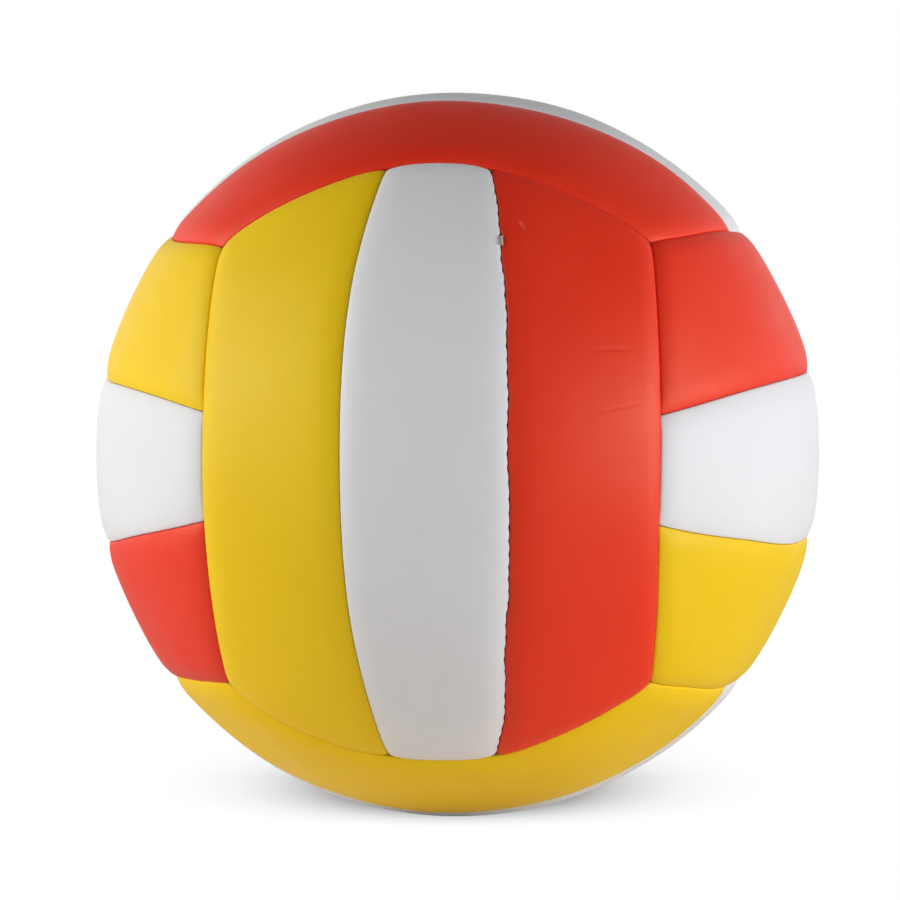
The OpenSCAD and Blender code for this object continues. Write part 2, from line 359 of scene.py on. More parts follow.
def surface_fall(distance):
    """Depth of the cover below the ball at a distance from its seam."""
    return FALL * np.exp(-np.maximum(distance, 0) / FALL_REACH) - RISE


def smooth_step(x, start, stop):
    """0 before the start and 1 after the stop, with a smooth rise between them."""
    t = np.clip((x - start) / (stop - start), 0, 1)
    return t * t * (3 - 2 * t)


def skin_edge():
    """The skin's outer edge from the bottom of its lip to the flat: distances and depths."""
    arc_distance = LIP_INSET + EDGE_R * (1 - np.cos(EDGE_TURNS))
    arc_depth = EDGE_R * (1 - np.sin(EDGE_TURNS)) + surface_fall(arc_distance)
    distance = np.concatenate([LIP_INSET + 0 * LIP_LINES, arc_distance, FLAT_LINES])
    depth = np.concatenate([LIP_LINES, arc_depth, surface_fall(FLAT_LINES)])
    return distance, depth


def skin_inside(distance, depth):
    """The inside of that edge, one skin thickness in, with as many points."""
    inner_lip = LIP_INSET + SKIN_T
    turned_in = distance < inner_lip
    rise = np.cumsum(turned_in) - 1
    lip_top = surface_fall(inner_lip) + SKIN_T
    lip = LIP_DEPTH + (lip_top - LIP_DEPTH) * rise / (turned_in.sum() + 1)
    inside_depth = np.where(turned_in, lip, depth + SKIN_T)
    step = LEAST_STEP * np.arange(len(distance))
    return np.maximum(distance, inner_lip) + step * ~turned_in, inside_depth


def pad_edge():
    """Edge of a pad's top, under the skin: up its side, round a corner, and on to the flat."""
    distance = np.concatenate([[PAD_INSET, PAD_INSET, PAD_INSET + PAD_CORNER], PAD_LINES])
    depth = surface_fall(distance) + PAD_UNDER_SKIN
    depth[0] = FOAM_DEPTH - PAD_CORNER
    depth[1] += PAD_CORNER
    return distance, depth


def flat_edge(depth, corner):
    """Edge of a layer's flat side, with as many points as pad_edge gives."""
    distance = np.concatenate([PAD_INSET + corner * np.array([1, 1.5, 2]), PAD_LINES])
    return distance, 0 * distance + depth


def stations(edge, width, inner_steps):
    """Places of the mesh's lines across a given width: two edges and what is between."""
    start = [edge_place + 0 * width for edge_place in edge]
    span = width - 2 * edge[-1]
    between = [edge[-1] + span * step / inner_steps for step in range(1, inner_steps)]
    stop = [width - edge_place for edge_place in edge[::-1]]
    return start + between + stop


def panel_points(strip, edge, steps, centred=0.0, puckered=False):
    """Points of one surface of a strip in its face's frame, with their depths.

    edge is the distances and depths of the surface's edge, and steps the number of steps
    across and along between the edges. centred is how far the panel's middle is lowered.
    """
    distance, depth = edge
    across_steps, along_steps = steps
    outline = strip_outline(strip)
    minus, plus, low, high = outline
    columns = 2 * len(distance) + across_steps - 1
    rows = 2 * len(distance) + along_steps - 1
    u = np.broadcast_to(np.linspace(0, 1, columns), (rows, columns))
    v = np.broadcast_to(np.linspace(0, 1, rows)[:, None], (rows, columns))
    for _ in range(FITTING_ROUNDS):
        width = arc_between(minus(v), plus(v))
        length = arc_between(low(u), high(u))
        lines_across = stations(distance, width, across_steps)
        lines_along = stations(distance, length, along_steps)
        x = np.stack([line[:, i] for i, line in enumerate(lines_across)], axis=1)
        y = np.stack([line[i, :] for i, line in enumerate(lines_along)], axis=0)
        u, v = x / width, y / length
    side_near = np.minimum(x, width - x)
    end_near = np.minimum(y, length - y)

    last = len(distance) - 1
    column, row = np.arange(columns), np.arange(rows)[:, None]
    base, full = depth[-1], max(depth[0] - depth[-1], MM)
    side = depth[np.minimum(np.minimum(column, columns - 1 - column), last)] - base
    end = depth[np.minimum(np.minimum(row, rows - 1 - row), last)] - base
    sunk = side + end - side * end / full
    lowered = centred * smooth_step(side_near, MIDDLE_FROM, MIDDLE_TO)
    lowered = lowered * smooth_step(end_near, MIDDLE_FROM, MIDDLE_TO)
    depths = base + sunk + lowered
    if puckered:
        along_side = np.cos(2 * math.pi * y / STITCH_PITCH) * np.exp(-side_near / FALL_REACH)
        along_end = np.cos(2 * math.pi * x / STITCH_PITCH) * np.exp(-end_near / FALL_REACH)
        depths = depths + PUCKER / 2 * (along_side + along_end)
    points = blend_seams(outline, u, v) * (BALL_R - depths)[..., None]
    return points, depths


# Meshes from those points


def lay_grid(bm, points, depths, inward=False):
    """Adds a grid whose vertices lie on the points and know how deep in a seam they are."""
    seam_depth = bm.verts.layers.float["seam_depth"]
    rows, columns = points.shape[:2]
    made = bmesh.ops.create_grid(bm, x_segments=columns - 1, y_segments=rows - 1, size=1)
    for vert in made["verts"]:
        column = round((vert.co.x + 1) / 2 * (columns - 1))
        row = round((vert.co.y + 1) / 2 * (rows - 1))
        vert.co = points[row, column]
        vert[seam_depth] = depths[row, column]
    if inward:
        faces = {face for vert in made["verts"] for face in vert.link_faces}
        bmesh.ops.reverse_faces(bm, faces=list(faces))


def finish_mesh(bm, name, material):
    """Turns a bmesh into a smooth-shaded object with one material."""
    for face in bm.faces:
        face.smooth = True
    mesh = bpy.data.meshes.new(name)
    bm.to_mesh(mesh)
    bm.free()
    piece = bpy.data.objects.new(name, mesh)
    bpy.context.scene.collection.objects.link(piece)
    mesh.materials.append(material)
    return piece


def closed_layer(name, face, upper, lower, material):
    """A closed layer of a face, between an upper and a lower surface's points and depths."""
    bm = bmesh.new()
    bm.verts.layers.float.new("seam_depth")
    lay_grid(bm, in_place(face, upper[0]), upper[1])
    lay_grid(bm, in_place(face, lower[0]), lower[1], inward=True)
    rims = [edge for edge in bm.edges if edge.is_boundary]
    bmesh.ops.bridge_loops(bm, edges=rims)
    return finish_mesh(bm, name, material)


def in_place(face, points):
    """Takes points from a face's frame to the ball's, with its slow unevenness."""
    if face == "front":
        points = closing_seam_scallops(points)
    return made_uneven(points @ face_axes(face))


def strip_size(strip):
    """A strip's width and length on the ball, between the middles of its seams."""
    minus, plus, low, high = strip_outline(strip)
    half = np.array([0.5])
    return arc_between(minus(half), plus(half))[0], arc_between(low(half), high(half))[0]


def strip_steps(strip, pitch_across, pitch_along):
    """Number of steps across and along a strip's flat for a given mesh pitch."""
    width, length = strip_size(strip)
    return round(width / pitch_across), round(length / pitch_along)


# Material nodes


def on_front(place):
    """The point of the cover at degrees beside the front's middle and up from it."""
    return BALL_R * front_place(*np.radians(place))[0]


def add_node(tree, kind, inputs=(), **settings):
    """A new node in a tree, with its settings, and with its inputs set or linked."""
    node = tree.nodes.new(kind)
    for key, value in settings.items():
        setattr(node, key, value)
    for key, value in dict(inputs).items():
        if isinstance(value, bpy.types.NodeSocket):
            tree.links.new(value, node.inputs[key])
        else:
            node.inputs[key].default_value = value
    return node


def map_range(tree, value, low, high, to_low=0.0, to_high=1.0):
    """A value taken from one range to another, and held at its ends."""
    ends = {"From Min": low, "From Max": high, "To Min": to_low, "To Max": to_high}
    return add_node(tree, "ShaderNodeMapRange", {"Value": value, **ends}).outputs["Result"]


class Finish:
    """A procedural material being put together: each call adds a node and gives its output."""

    def __init__(self, name):
        self.material = bpy.data.materials.new(name)
        self.material.use_nodes = True
        self.tree = self.material.node_tree
        self.shader = self.tree.nodes["Principled BSDF"]
        self.place = self.tree.nodes.new("ShaderNodeTexCoord").outputs["Object"]

    def set(self, **values):
        for key, value in values.items():
            self.shader.inputs[key.replace("_", " ")].default_value = value

    def node(self, kind, inputs=(), **settings):
        return add_node(self.tree, kind, inputs, **settings)

    def noise(self, scale, detail=2.0, roughness=0.5):
        inputs = {"Scale": scale, "Detail": detail, "Roughness": roughness}
        return self.node("ShaderNodeTexNoise", {"Vector": self.place, **inputs}).outputs["Fac"]

    def cells(self, scale, feature="F1"):
        inputs = {"Vector": self.place, "Scale": scale}
        return self.node("ShaderNodeTexVoronoi", inputs, feature=feature).outputs["Distance"]

    def waves(self, scale, distortion, place, **settings):
        inputs = {"Vector": place, "Scale": scale, "Distortion": distortion, "Detail": 1.0}
        return self.node("ShaderNodeTexWave", inputs, **settings).outputs["Fac"]

    def ramp(self, value, low, high, to_low=0.0, to_high=1.0):
        return map_range(self.tree, value, low, high, to_low, to_high)

    def mix(self, share, a, b):
        """Colour a where the share is 0 and b where it is 1."""
        a, b = [end if isinstance(end, bpy.types.NodeSocket) else (*end, 1) for end in (a, b)]
        inputs = {0: share, 6: a, 7: b}
        return self.node("ShaderNodeMix", inputs, data_type="RGBA").outputs[2]

    def math(self, operation, a, b=0.0):
        return self.node("ShaderNodeMath", {0: a, 1: b}, operation=operation).outputs[0]

    def attribute(self, name):
        return self.node("ShaderNodeAttribute", attribute_name=name).outputs["Fac"]

    def bump(self, height, distance, strength=1.0, normal=None):
        inputs = {"Height": height, "Distance": distance, "Strength": strength}
        if normal is not None:
            inputs["Normal"] = normal
        return self.node("ShaderNodeBump", inputs).outputs["Normal"]

    def vector(self, operation, a, b, output="Vector"):
        inputs = {0: a, "Scale" if operation == "SCALE" else 1: b}
        return self.node("ShaderNodeVectorMath", inputs, operation=operation).outputs[output]

    def near_spot(self, place, radius):
        """1 at a place on the front and 0 a radius away from it."""
        away = self.vector("DISTANCE", self.place, on_front(place), "Value")
        return self.ramp(away, 0.0, radius, 1.0, 0.0)

    def near_line(self, start, stop, width):
        """1 along the middle of a line between two places on the front, fading out around it."""
        line = on_front(stop) - on_front(start)
        offset = self.vector("SUBTRACT", self.place, on_front(start))
        along = self.vector("DOT_PRODUCT", offset, line / line.dot(line), "Value")
        share = self.ramp(along, 0.0, 1.0)
        away = self.vector("DISTANCE", offset, self.vector("SCALE", line, share), "Value")
        rest = self.math("SUBTRACT", 1.0, share)
        middle = self.math("MULTIPLY", self.math("MULTIPLY", share, rest), 4.0)
        return self.math("MULTIPLY", middle, self.ramp(away, 0.0, width, 1.0, 0.0))

    def wire(self, key, value):
        self.tree.links.new(value, self.shader.inputs[key])


def srgb(red, green, blue):
    """A colour as it is written for a screen, 0 to 255, in linear light."""

    def linear(level):
        share = level / 255
        return share / 12.92 if share <= 0.04045 else ((share + 0.055) / 1.055) ** 2.4

    return tuple(linear(level) for level in (red, green, blue))


# Marks of use on the front, and a spot of painted shade: their places in degrees beside its
# middle and up from it, one for a spot and two for a line, their radius or width, and for
# spots and scuffs how strongly they show and their colour
SPOTS_AND_PAINTED_SHADE = {
    "yellow_leather": [((-25.6, 13.9), 0.5 * MM, 0.5, srgb(120, 95, 30))],
    "red_leather": [
        ((38.3, -15.5), 0.7 * MM, 1.0, srgb(255, 225, 190)),
        ((45.1, 36.1), 0.9 * MM, 0.8, srgb(150, 130, 105)),
        # Painted shade: a darker red dot where the first crease ends in a dimple
        ((27.5, 8.4), 1.0 * MM, 0.12, srgb(150, 20, 10)),
    ],
}
SCUFFS = {
    "red_leather": [((17.4, 40.4), (18.5, 38.2), 0.9 * MM, 0.25, srgb(245, 170, 165))],
}
CREASES = {
    "red_leather": [
        ((26.4, 8.3), (35.2, 9.8), 0.8 * MM),
        ((26.2, 18.0), (35.4, 17.9), 0.9 * MM),
    ],
}
CREASE_DEPTH = 0.09 * MM


def marks_and_painted_shade(finish, name, tone):
    """Adds a leather's spots, one of them painted shade, and scuffs to its colour, and gives the
    height of its creases.
    """
    for place, radius, strength, colour in SPOTS_AND_PAINTED_SHADE.get(name, []):
        share = finish.math("MULTIPLY", finish.near_spot(place, radius), strength)
        tone = finish.mix(share, tone, colour)
    for start, stop, width, strength, colour in SCUFFS.get(name, []):
        share = finish.math("MULTIPLY", finish.near_line(start, stop, width), strength)
        tone = finish.mix(share, tone, colour)
    sunk = 0.0
    for start, stop, width in CREASES.get(name, []):
        sunk = finish.math("ADD", finish.near_line(start, stop, width), sunk)
    return tone, sunk


# The levels between which most of a noise lies
MOST_OF_NOISE = (0.3, 0.7)

# The leather's patterns, each with how many of its features lie along a metre. Its bumps
# have a depth too.
SHADE_PATCHES, SHADE_SPECKS, GLOSS_PATCHES = 22, 420, 60
SPECKS_SHARE = 0.12
DENTS, DENT_DEPTH = 130, 0.02 * MM
PEBBLES, PEBBLE_DEPTH = 1900, 0.02 * MM
PORES, PORE_DEPTH = 3200, 0.006 * MM
LEATHER_ROUGH = (0.44, 0.53)

# Depths between which the leather turns to the shade that is painted into the seam, and how
# much rougher it gets there
SEAM_SHADE_FROM, SEAM_SHADE_TO = 1.3 * MM, 2.4 * MM
SEAM_ROUGHER = 0.4


def cover_leather(name, colour, shade, painted_seam_shade, gloss, gloss_tint=(1, 1, 1, 1)):
    """Soft matte synthetic leather with a fine grain, dulled inside the seams, with shade painted
    into its colour there.
    """
    finish = Finish(name)
    patches = finish.ramp(finish.noise(SHADE_PATCHES, 2), 0.35, 0.65)
    specks = finish.ramp(finish.noise(SHADE_SPECKS, 3), *MOST_OF_NOISE)
    tone = finish.mix(patches, colour, shade)
    tone = finish.mix(finish.math("MULTIPLY", specks, SPECKS_SHARE), tone, shade)
    tone, sunk = marks_and_painted_shade(finish, name, tone)
    deep = finish.ramp(finish.attribute("seam_depth"), SEAM_SHADE_FROM, SEAM_SHADE_TO)
    # Painted shade: deep in a seam's gap the colour turns to a darker copy of the leather's own
    finish.wire("Base Color", finish.mix(deep, tone, painted_seam_shade))
    rough = finish.ramp(finish.noise(GLOSS_PATCHES, 3), *MOST_OF_NOISE, *LEATHER_ROUGH)
    rougher = finish.math("MULTIPLY", deep, SEAM_ROUGHER)
    finish.wire("Roughness", finish.math("ADD", rough, rougher))
    dents = finish.bump(finish.noise(DENTS, 2), DENT_DEPTH)
    pebbles = finish.bump(finish.cells(PEBBLES, "SMOOTH_F1"), PEBBLE_DEPTH, 0.6, dents)
    normal = finish.bump(finish.noise(PORES, 2), PORE_DEPTH, 0.5, pebbles)
    if name in CREASES:
        normal = finish.bump(finish.math("SUBTRACT", 0.0, sunk), CREASE_DEPTH, 1.0, normal)
    finish.wire("Normal", normal)
    finish.set(Specular_IOR_Level=gloss, Specular_Tint=gloss_tint)
    finish.set(Sheen_Weight=0.02, Sheen_Roughness=0.5)
    return finish.material


# Each leather's colour, the shade that it varies to, the darker colour painted as shade in its
# seams, and its gloss
LEATHER = {
    "yellow": cover_leather(
        "yellow_leather", srgb(250, 209, 24), srgb(247, 205, 20), srgb(110, 84, 20), 0.2
    ),
    "red": cover_leather(
        "red_leather",
        srgb(244, 55, 29),
        srgb(240, 50, 26),
        srgb(84, 24, 16),
        0.4,
        (1, 0.9, 0.6, 1),
    ),
    "white": cover_leather(
        "white_leather", srgb(238, 238, 241), srgb(235, 236, 238), srgb(108, 102, 98), 0.2
    ),
}


# The other materials' patterns, in features along a metre, and the depths of their bumps
FOAM_CELLS, FOAM_CELL_DEPTH, FOAM_PATCHES = 1400, 0.25 * MM, 200
YARNS, YARN_DEPTH, CLOTH_PATCHES = 260.0, 0.08 * MM, 300
PLIES, PLY_DEPTH = 900.0, 0.04 * MM
BLOOM_PATCHES, RUBBER_GRAIN, RUBBER_GRAIN_DEPTH, RUBBER_PATCHES = 45, 1500, 0.03 * MM, 90


def foam_rubber():
    """Open-cell foam: pale, with a scatter of small dark cells."""
    finish = Finish("foam_rubber")
    cells = finish.cells(FOAM_CELLS)
    tone = finish.mix(finish.ramp(cells, 0.05, 0.4), srgb(176, 172, 160), srgb(214, 211, 200))
    finish.wire("Base Color", tone)
    finish.wire("Normal", finish.bump(cells, FOAM_CELL_DEPTH, 0.8))
    rough = finish.ramp(finish.noise(FOAM_PATCHES), *MOST_OF_NOISE, 0.85, 0.97)
    finish.wire("Roughness", rough)
    finish.set(Specular_IOR_Level=0.2, Sheen_Weight=0.2)
    return finish.material


def woven_cloth():
    """Plain-woven polyester backing, as two crossed sets of yarns."""
    finish = Finish("woven_backing")
    yarns = []
    for turn in (0.0, math.pi / 2):
        turning = {"Vector": finish.place, "Rotation": (turn, math.pi / 4, turn)}
        turned_place = finish.node("ShaderNodeMapping", turning).outputs["Vector"]
        yarns.append(finish.waves(YARNS, 0.6, turned_place))
    weave = finish.math("MAXIMUM", *yarns)
    tone = finish.mix(finish.ramp(weave, 0.2, 0.9), srgb(150, 152, 156), srgb(206, 208, 212))
    finish.wire("Base Color", tone)
    finish.wire("Normal", finish.bump(weave, YARN_DEPTH, 0.8))
    rough = finish.ramp(finish.noise(CLOTH_PATCHES), *MOST_OF_NOISE, 0.78, 0.92)
    finish.wire("Roughness", rough)
    finish.set(Specular_IOR_Level=0.25, Sheen_Weight=0.25)
    return finish.material


def spun_thread(name, colour, shade):
    """Twisted polyester thread, with its plies as a fine slanting wave."""
    finish = Finish(name)
    plies = finish.waves(PLIES, 1.5, finish.place, bands_direction="DIAGONAL")
    finish.wire("Base Color", finish.mix(plies, shade, colour))
    finish.wire("Normal", finish.bump(plies, PLY_DEPTH, 0.7))
    finish.wire("Roughness", finish.ramp(plies, 0, 1, 0.75, 0.6))
    finish.set(Specular_IOR_Level=0.35, Sheen_Weight=0.3)
    return finish.material


def moulded_rubber(name, colour, bloom, rough):
    """Moulded rubber: a faint grey bloom in patches over a fine matt texture."""
    finish = Finish(name)
    patches = finish.ramp(finish.noise(BLOOM_PATCHES, 4, 0.6), 0.42, 0.7)
    finish.wire("Base Color", finish.mix(patches, colour, bloom))
    span = (rough, rough + 0.12)
    uneven = finish.ramp(finish.noise(RUBBER_PATCHES, 3), *MOST_OF_NOISE, *span)
    finish.wire("Roughness", uneven)
    finish.wire("Normal", finish.bump(finish.noise(RUBBER_GRAIN, 3), RUBBER_GRAIN_DEPTH, 0.6))
    finish.set(Specular_IOR_Level=0.4)
    return finish.material


FOAM = foam_rubber()
BACKING = woven_cloth()
SEAM_THREAD = spun_thread("grey_thread", srgb(150, 146, 140), srgb(96, 92, 88))
CLOSING_THREAD = spun_thread("white_thread", srgb(226, 224, 206), srgb(168, 166, 150))
BLACK_RUBBER = moulded_rubber("black_rubber", srgb(30, 30, 32), srgb(62, 62, 64), 0.5)
VALVE_RUBBER = moulded_rubber("valve_rubber", srgb(222, 222, 224), srgb(204, 205, 208), 0.42)

# The eighteen panels

SKIN_PITCH = 1.5 * MM
CLOSING_ROW_PITCH = 0.62 * MM
PAD_PITCH = 3.2 * MM


def skin(face, strip):
    """A panel's skin: a crowned sheet whose edges are turned in beside the pad."""
    names, colours = FACES[face][2], FACES[face][3]
    node = f"{face}_{names[strip]}_skin"
    beside_closing_seam = face == "front" and strip != MINUS_SIDE
    row_pitch = CLOSING_ROW_PITCH if beside_closing_seam else SKIN_PITCH
    steps = strip_steps(strip, SKIN_PITCH, row_pitch)
    edge = skin_edge()
    outside, depths = panel_points(strip, edge, steps, MIDDLE_LOW, puckered=True)
    inside, _ = panel_points(strip, skin_inside(*edge), steps, MIDDLE_LOW)
    # The skin's inside counts as deep in the seam, so all of it takes the painted seam shade
    as_in_seam = LIP_DEPTH + 0 * depths
    leather = LEATHER[colours[strip]]
    piece = closed_layer(f"cover_{node}", face, (outside, depths), (inside, as_in_seam), leather)
    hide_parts(node)
    return piece


def pad(face, strip):
    """A panel's foam pad, crowned as the skin over it is and flat to the cloth under it."""
    node = f"{face}_{FACES[face][2][strip]}_foam"
    steps = strip_steps(strip, PAD_PITCH, PAD_PITCH)
    top = panel_points(strip, pad_edge(), steps, MIDDLE_LOW)
    under = panel_points(strip, flat_edge(FOAM_DEPTH, PAD_UNDER_CORNER), steps)
    piece = closed_layer(f"padding_{node}", face, top, under, FOAM)
    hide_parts(node)
    return piece


def backing(face, strip):
    """The cloth behind a pad, which the stitches go through."""
    node = f"{face}_{FACES[face][2][strip]}_cloth"
    steps = strip_steps(strip, PAD_PITCH, PAD_PITCH)
    top = panel_points(strip, flat_edge(CLOTH_TOP, CLOTH_CORNER), steps)
    under = panel_points(strip, flat_edge(LIP_DEPTH, CLOTH_CORNER), steps)
    piece = closed_layer(f"backing_{node}", face, top, under, BACKING)
    width, length = strip_size(strip)
    area = sum(p.area for p in piece.data.polygons if p.center.dot(p.normal) > 0)
    flat_size = (width, max(length, area / width))
    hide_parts(node)
    return piece


pieces = []
for face in FACES:
    for strip in (MINUS_SIDE, MIDDLE, PLUS_SIDE):
        pieces.append(skin(face, strip))
        pad_piece = pad(face, strip)
        pieces.append(pad_piece)
        pieces.append(backing(face, strip))

# Thread in the seams

THREAD_R = 0.13 * MM
THREAD_STEP = 0.55 * MM
THREAD_STOP = 1.6 * MM
THREAD_DEPTH = 2.3 * MM
THREAD_DIP = 0.4 * MM
CLOSING_DEPTH = 1.9 * MM
CLOSING_CROSSING = 0.15 * MM
# How a seam's thread lies: its depth, dip and pitch, and how far it crosses the seam's gap
MACHINE_SEWN = (THREAD_DEPTH, THREAD_DIP, STITCH_PITCH)
HAND_SEWN = (CLOSING_DEPTH, THREAD_DIP / 2, CLOSING_PITCH, CLOSING_CROSSING)


def thread_run(face, seam, half_sweep, seam_r, depth, dip, pitch, crossing=0.0):
    """Points along one seam's thread, which dips at each stitch and may cross the seam's gap."""
    half = half_sweep - THREAD_STOP / seam_r
    count = round(2 * half * seam_r / THREAD_STEP)
    sweep = np.linspace(-half, half, count)
    stitch = 2 * math.pi * sweep * seam_r / pitch
    points = seam(sweep) * (BALL_R - depth - dip * np.cos(stitch))[:, None]
    points[:, 0] += crossing * np.sin(stitch / 2)
    return in_place(face, points)


def thread(name, runs, radius, material):
    """Lengths of round thread, as one piece."""
    curve = bpy.data.curves.new(name, "CURVE")
    curve.dimensions = "3D"
    curve.bevel_depth = radius
    curve.bevel_resolution = 1
    curve.use_fill_caps = True
    for run in runs:
        spline = curve.splines.new("POLY")
        spline.points.add(len(run) - 1)
        spline.points.foreach_set("co", np.c_[run, np.ones(len(run))].ravel())
    curve.materials.append(material)
    piece = bpy.data.objects.new(name, curve)
    bpy.context.scene.collection.objects.link(piece)
    return piece


def seam_runs(face):
    """A face's machine-sewn threads: its ends, and the strip seams that aren't closed by hand."""
    ring_r = BALL_R * math.sin(CAP)
    for end in (-1, 1):
        yield thread_run(face, partial(end_seam, end), OUTER_SWEEP, ring_r, *MACHINE_SEWN)
    for side in (-1, 1):
        if face == "front" and side == 1:
            continue
        seam = partial(strip_seam, side * STRIP)
        yield thread_run(face, seam, STRIP_SWEEP, BALL_R, *MACHINE_SEWN)


machine_runs = [run for face in FACES for run in seam_runs(face)]
seam_thread = thread("sewing_thread", machine_runs, THREAD_R, SEAM_THREAD)
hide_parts("seam_thread")

closing_run = thread_run("front", partial(strip_seam, STRIP), STRIP_SWEEP, BALL_R, *HAND_SEWN)

# The closing thread starts in a small knot that shows near the top of its seam
KNOT_SWEEP = math.radians(36.45)
KNOT_LENGTH = 3.0 * MM
KNOT_R = 0.34 * MM
KNOT_DEPTH = 0.4 * MM
KNOT_TURNS = 7
POINTS_A_TURN = 16


def knot_run():
    """A few turns of the thread wound on themselves along the seam."""
    share = np.linspace(0, 1, POINTS_A_TURN * KNOT_TURNS)
    turn = 2 * math.pi * KNOT_TURNS * share
    sweep = KNOT_SWEEP + (share - 0.5) * KNOT_LENGTH / BALL_R
    points = strip_seam(STRIP + KNOT_R * np.cos(turn) / BALL_R, sweep)
    return in_place("front", points * (BALL_R - KNOT_DEPTH + KNOT_R * np.sin(turn))[:, None])


closing_thread = thread("closing_seam_thread", [closing_run, knot_run()], THREAD_R, CLOSING_THREAD)
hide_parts("closing_thread")
pieces += [seam_thread, closing_thread]

# Bladder, patch and valve

VALVE_HOLE_R = 5.65 * MM
BLADDER_DEPTH = 4.85 * MM
BLADDER_T = 0.8 * MM
BLADDER_OUT = BALL_R - BLADDER_DEPTH
BLADDER_IN = BLADDER_OUT - BLADDER_T
MOULD_LINE = 0.1 * MM
MOULD_LINE_REACH = 1.2 * MM
PATCH_OUT = BLADDER_IN - GLUE
PATCH_T = 1.0 * MM
PATCH_IN = PATCH_OUT - PATCH_T
PATCH_R = 19 * MM
PATCH_ROUNDING = 0.25 * MM

# Points along each arc of a turned outline, and steps round the axis
BLADDER_OUT_POINTS, BLADDER_IN_POINTS, BLADDER_STEPS = 91, 61, 120
PATCH_POINTS, PATCH_STEPS = 14, 96

ON_AXIS = 0.001 * MM
SAME_POINT = 0.01 * MM
NO_LENGTH = 0.005 * MM
SHARP = math.radians(35)


def turned(name, outline, steps, material, rounding=0.0):
    """A piece turned round the valve's axis from a closed outline of radii and heights."""
    bm = bmesh.new()
    ring = [bm.verts.new((radius, height, 0)) for radius, height in outline]
    sides = zip(ring, ring[1:] + ring[:1])
    edges = [bm.edges.new(side) for side in sides if max(end.co.x for end in side) > ON_AXIS]
    bmesh.ops.spin(
        bm,
        geom=ring + edges,
        axis=(0, 1, 0),
        cent=(0, 0, 0),
        dvec=(0, 0, 0),
        angle=2 * math.pi,
        steps=steps,
        use_merge=True,
    )
    bmesh.ops.remove_doubles(bm, verts=bm.verts, dist=SAME_POINT)
    bmesh.ops.dissolve_degenerate(bm, edges=bm.edges, dist=NO_LENGTH)
    bmesh.ops.recalc_face_normals(bm, faces=bm.faces)
    if rounding:
        bmesh.ops.bevel(
            bm,
            geom=[e for e in bm.edges if e.is_manifold and e.calc_face_angle() > SHARP],
            offset=rounding,
            segments=3,
            profile=0.5,
            affect="EDGES",
            material=-1,
        )
    return finish_mesh(bm, name, material)


def ball_arc(radius, start, stop, count):
    """Radii and heights along a ball, from one angle off the valve's axis to another."""
    turns = np.linspace(start, stop, count)
    return [(radius * math.sin(t), radius * math.cos(t)) for t in turns]


def valve_hole_edge(radius):
    """Angle off the valve's axis at which the valve's hole opens a ball of some radius."""
    return math.asin(VALVE_HOLE_R / radius)


def bladder_outline():
    """The bladder's wall: out from the valve's hole to the far pole, and back inside."""
    out_start, in_stop = valve_hole_edge(BLADDER_OUT), valve_hole_edge(BLADDER_IN)
    outer = []
    for radius, height in ball_arc(BLADDER_OUT, out_start, math.pi, BLADDER_OUT_POINTS):
        ridge = 1 + MOULD_LINE / BLADDER_OUT * math.exp(-((height / MOULD_LINE_REACH) ** 2))
        outer.append((radius * ridge, height * ridge))
    return outer + ball_arc(BLADDER_IN, math.pi, in_stop, BLADDER_IN_POINTS)


def patch_outline():
    """The patch's wall: out from the valve's hole to its rim, and back inside."""
    out_start, in_stop = valve_hole_edge(PATCH_OUT), valve_hole_edge(PATCH_IN)
    outer = ball_arc(PATCH_OUT, out_start, math.asin(PATCH_R / PATCH_OUT), PATCH_POINTS)
    inner = ball_arc(PATCH_IN, math.asin(PATCH_R / PATCH_IN), in_stop, PATCH_POINTS)
    return outer + inner


bladder = turned("inner_bladder", bladder_outline(), BLADDER_STEPS, BLACK_RUBBER)
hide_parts("bladder")

patch = turned("bladder_patch", patch_outline(), PATCH_STEPS, BLACK_RUBBER, PATCH_ROUNDING)
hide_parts("valve_patch")
pieces += [bladder, patch]

for node, material in (("valve_housing", VALVE_RUBBER), ("valve_plug", BLACK_RUBBER)):
    frame["nodes"][node].data.materials.clear()
    frame["nodes"][node].data.materials.append(material)

# The valve's hole through the back face's middle panel

HOLE_MARGIN = 2.2 * MM
HOLE_SIDES = 72
SKIN_HOLE_ROUNDING = 0.6 * MM
UNDER_HOLE_ROUNDING = 0.1 * MM


def ragged_hole(bm, outward):
    """Takes the faces round the valve's axis out of one surface, and gives the hole's edges."""
    taken = []
    for face in bm.faces:
        middle = face.calc_center_median()
        near = middle.y > 0 and math.hypot(middle.x, middle.z) < VALVE_HOLE_R + HOLE_MARGIN
        if near and (face.normal.y > 0) == outward:
            taken.append(face)
    rim = {edge for face in taken for edge in face.edges}
    rim = [edge for edge in rim if any(face not in taken for face in edge.link_faces)]
    bmesh.ops.delete(bm, geom=taken, context="FACES")
    return rim


def ring_of_edges(bm, radius, height):
    """A round edge about the valve's axis."""
    made = bmesh.ops.create_circle(bm, segments=HOLE_SIDES, radius=radius)["verts"]
    bmesh.ops.rotate(bm, verts=made, cent=(0, 0, 0), matrix=Matrix.Rotation(math.pi / 2, 3, "X"))
    bmesh.ops.translate(bm, verts=made, vec=(0, height, 0))
    return list({edge for vert in made for edge in vert.link_edges})


def surface_height(rim, radius):
    """Height at which a ragged hole's surface would reach a radius about the valve's axis."""
    points = [vert.co for edge in rim for vert in edge.verts]
    height = sum(point.y for point in points) / len(points)
    square = sum(point.x**2 + point.z**2 for point in points) / len(points)
    return height + (square - radius**2) / (2 * BALL_R)


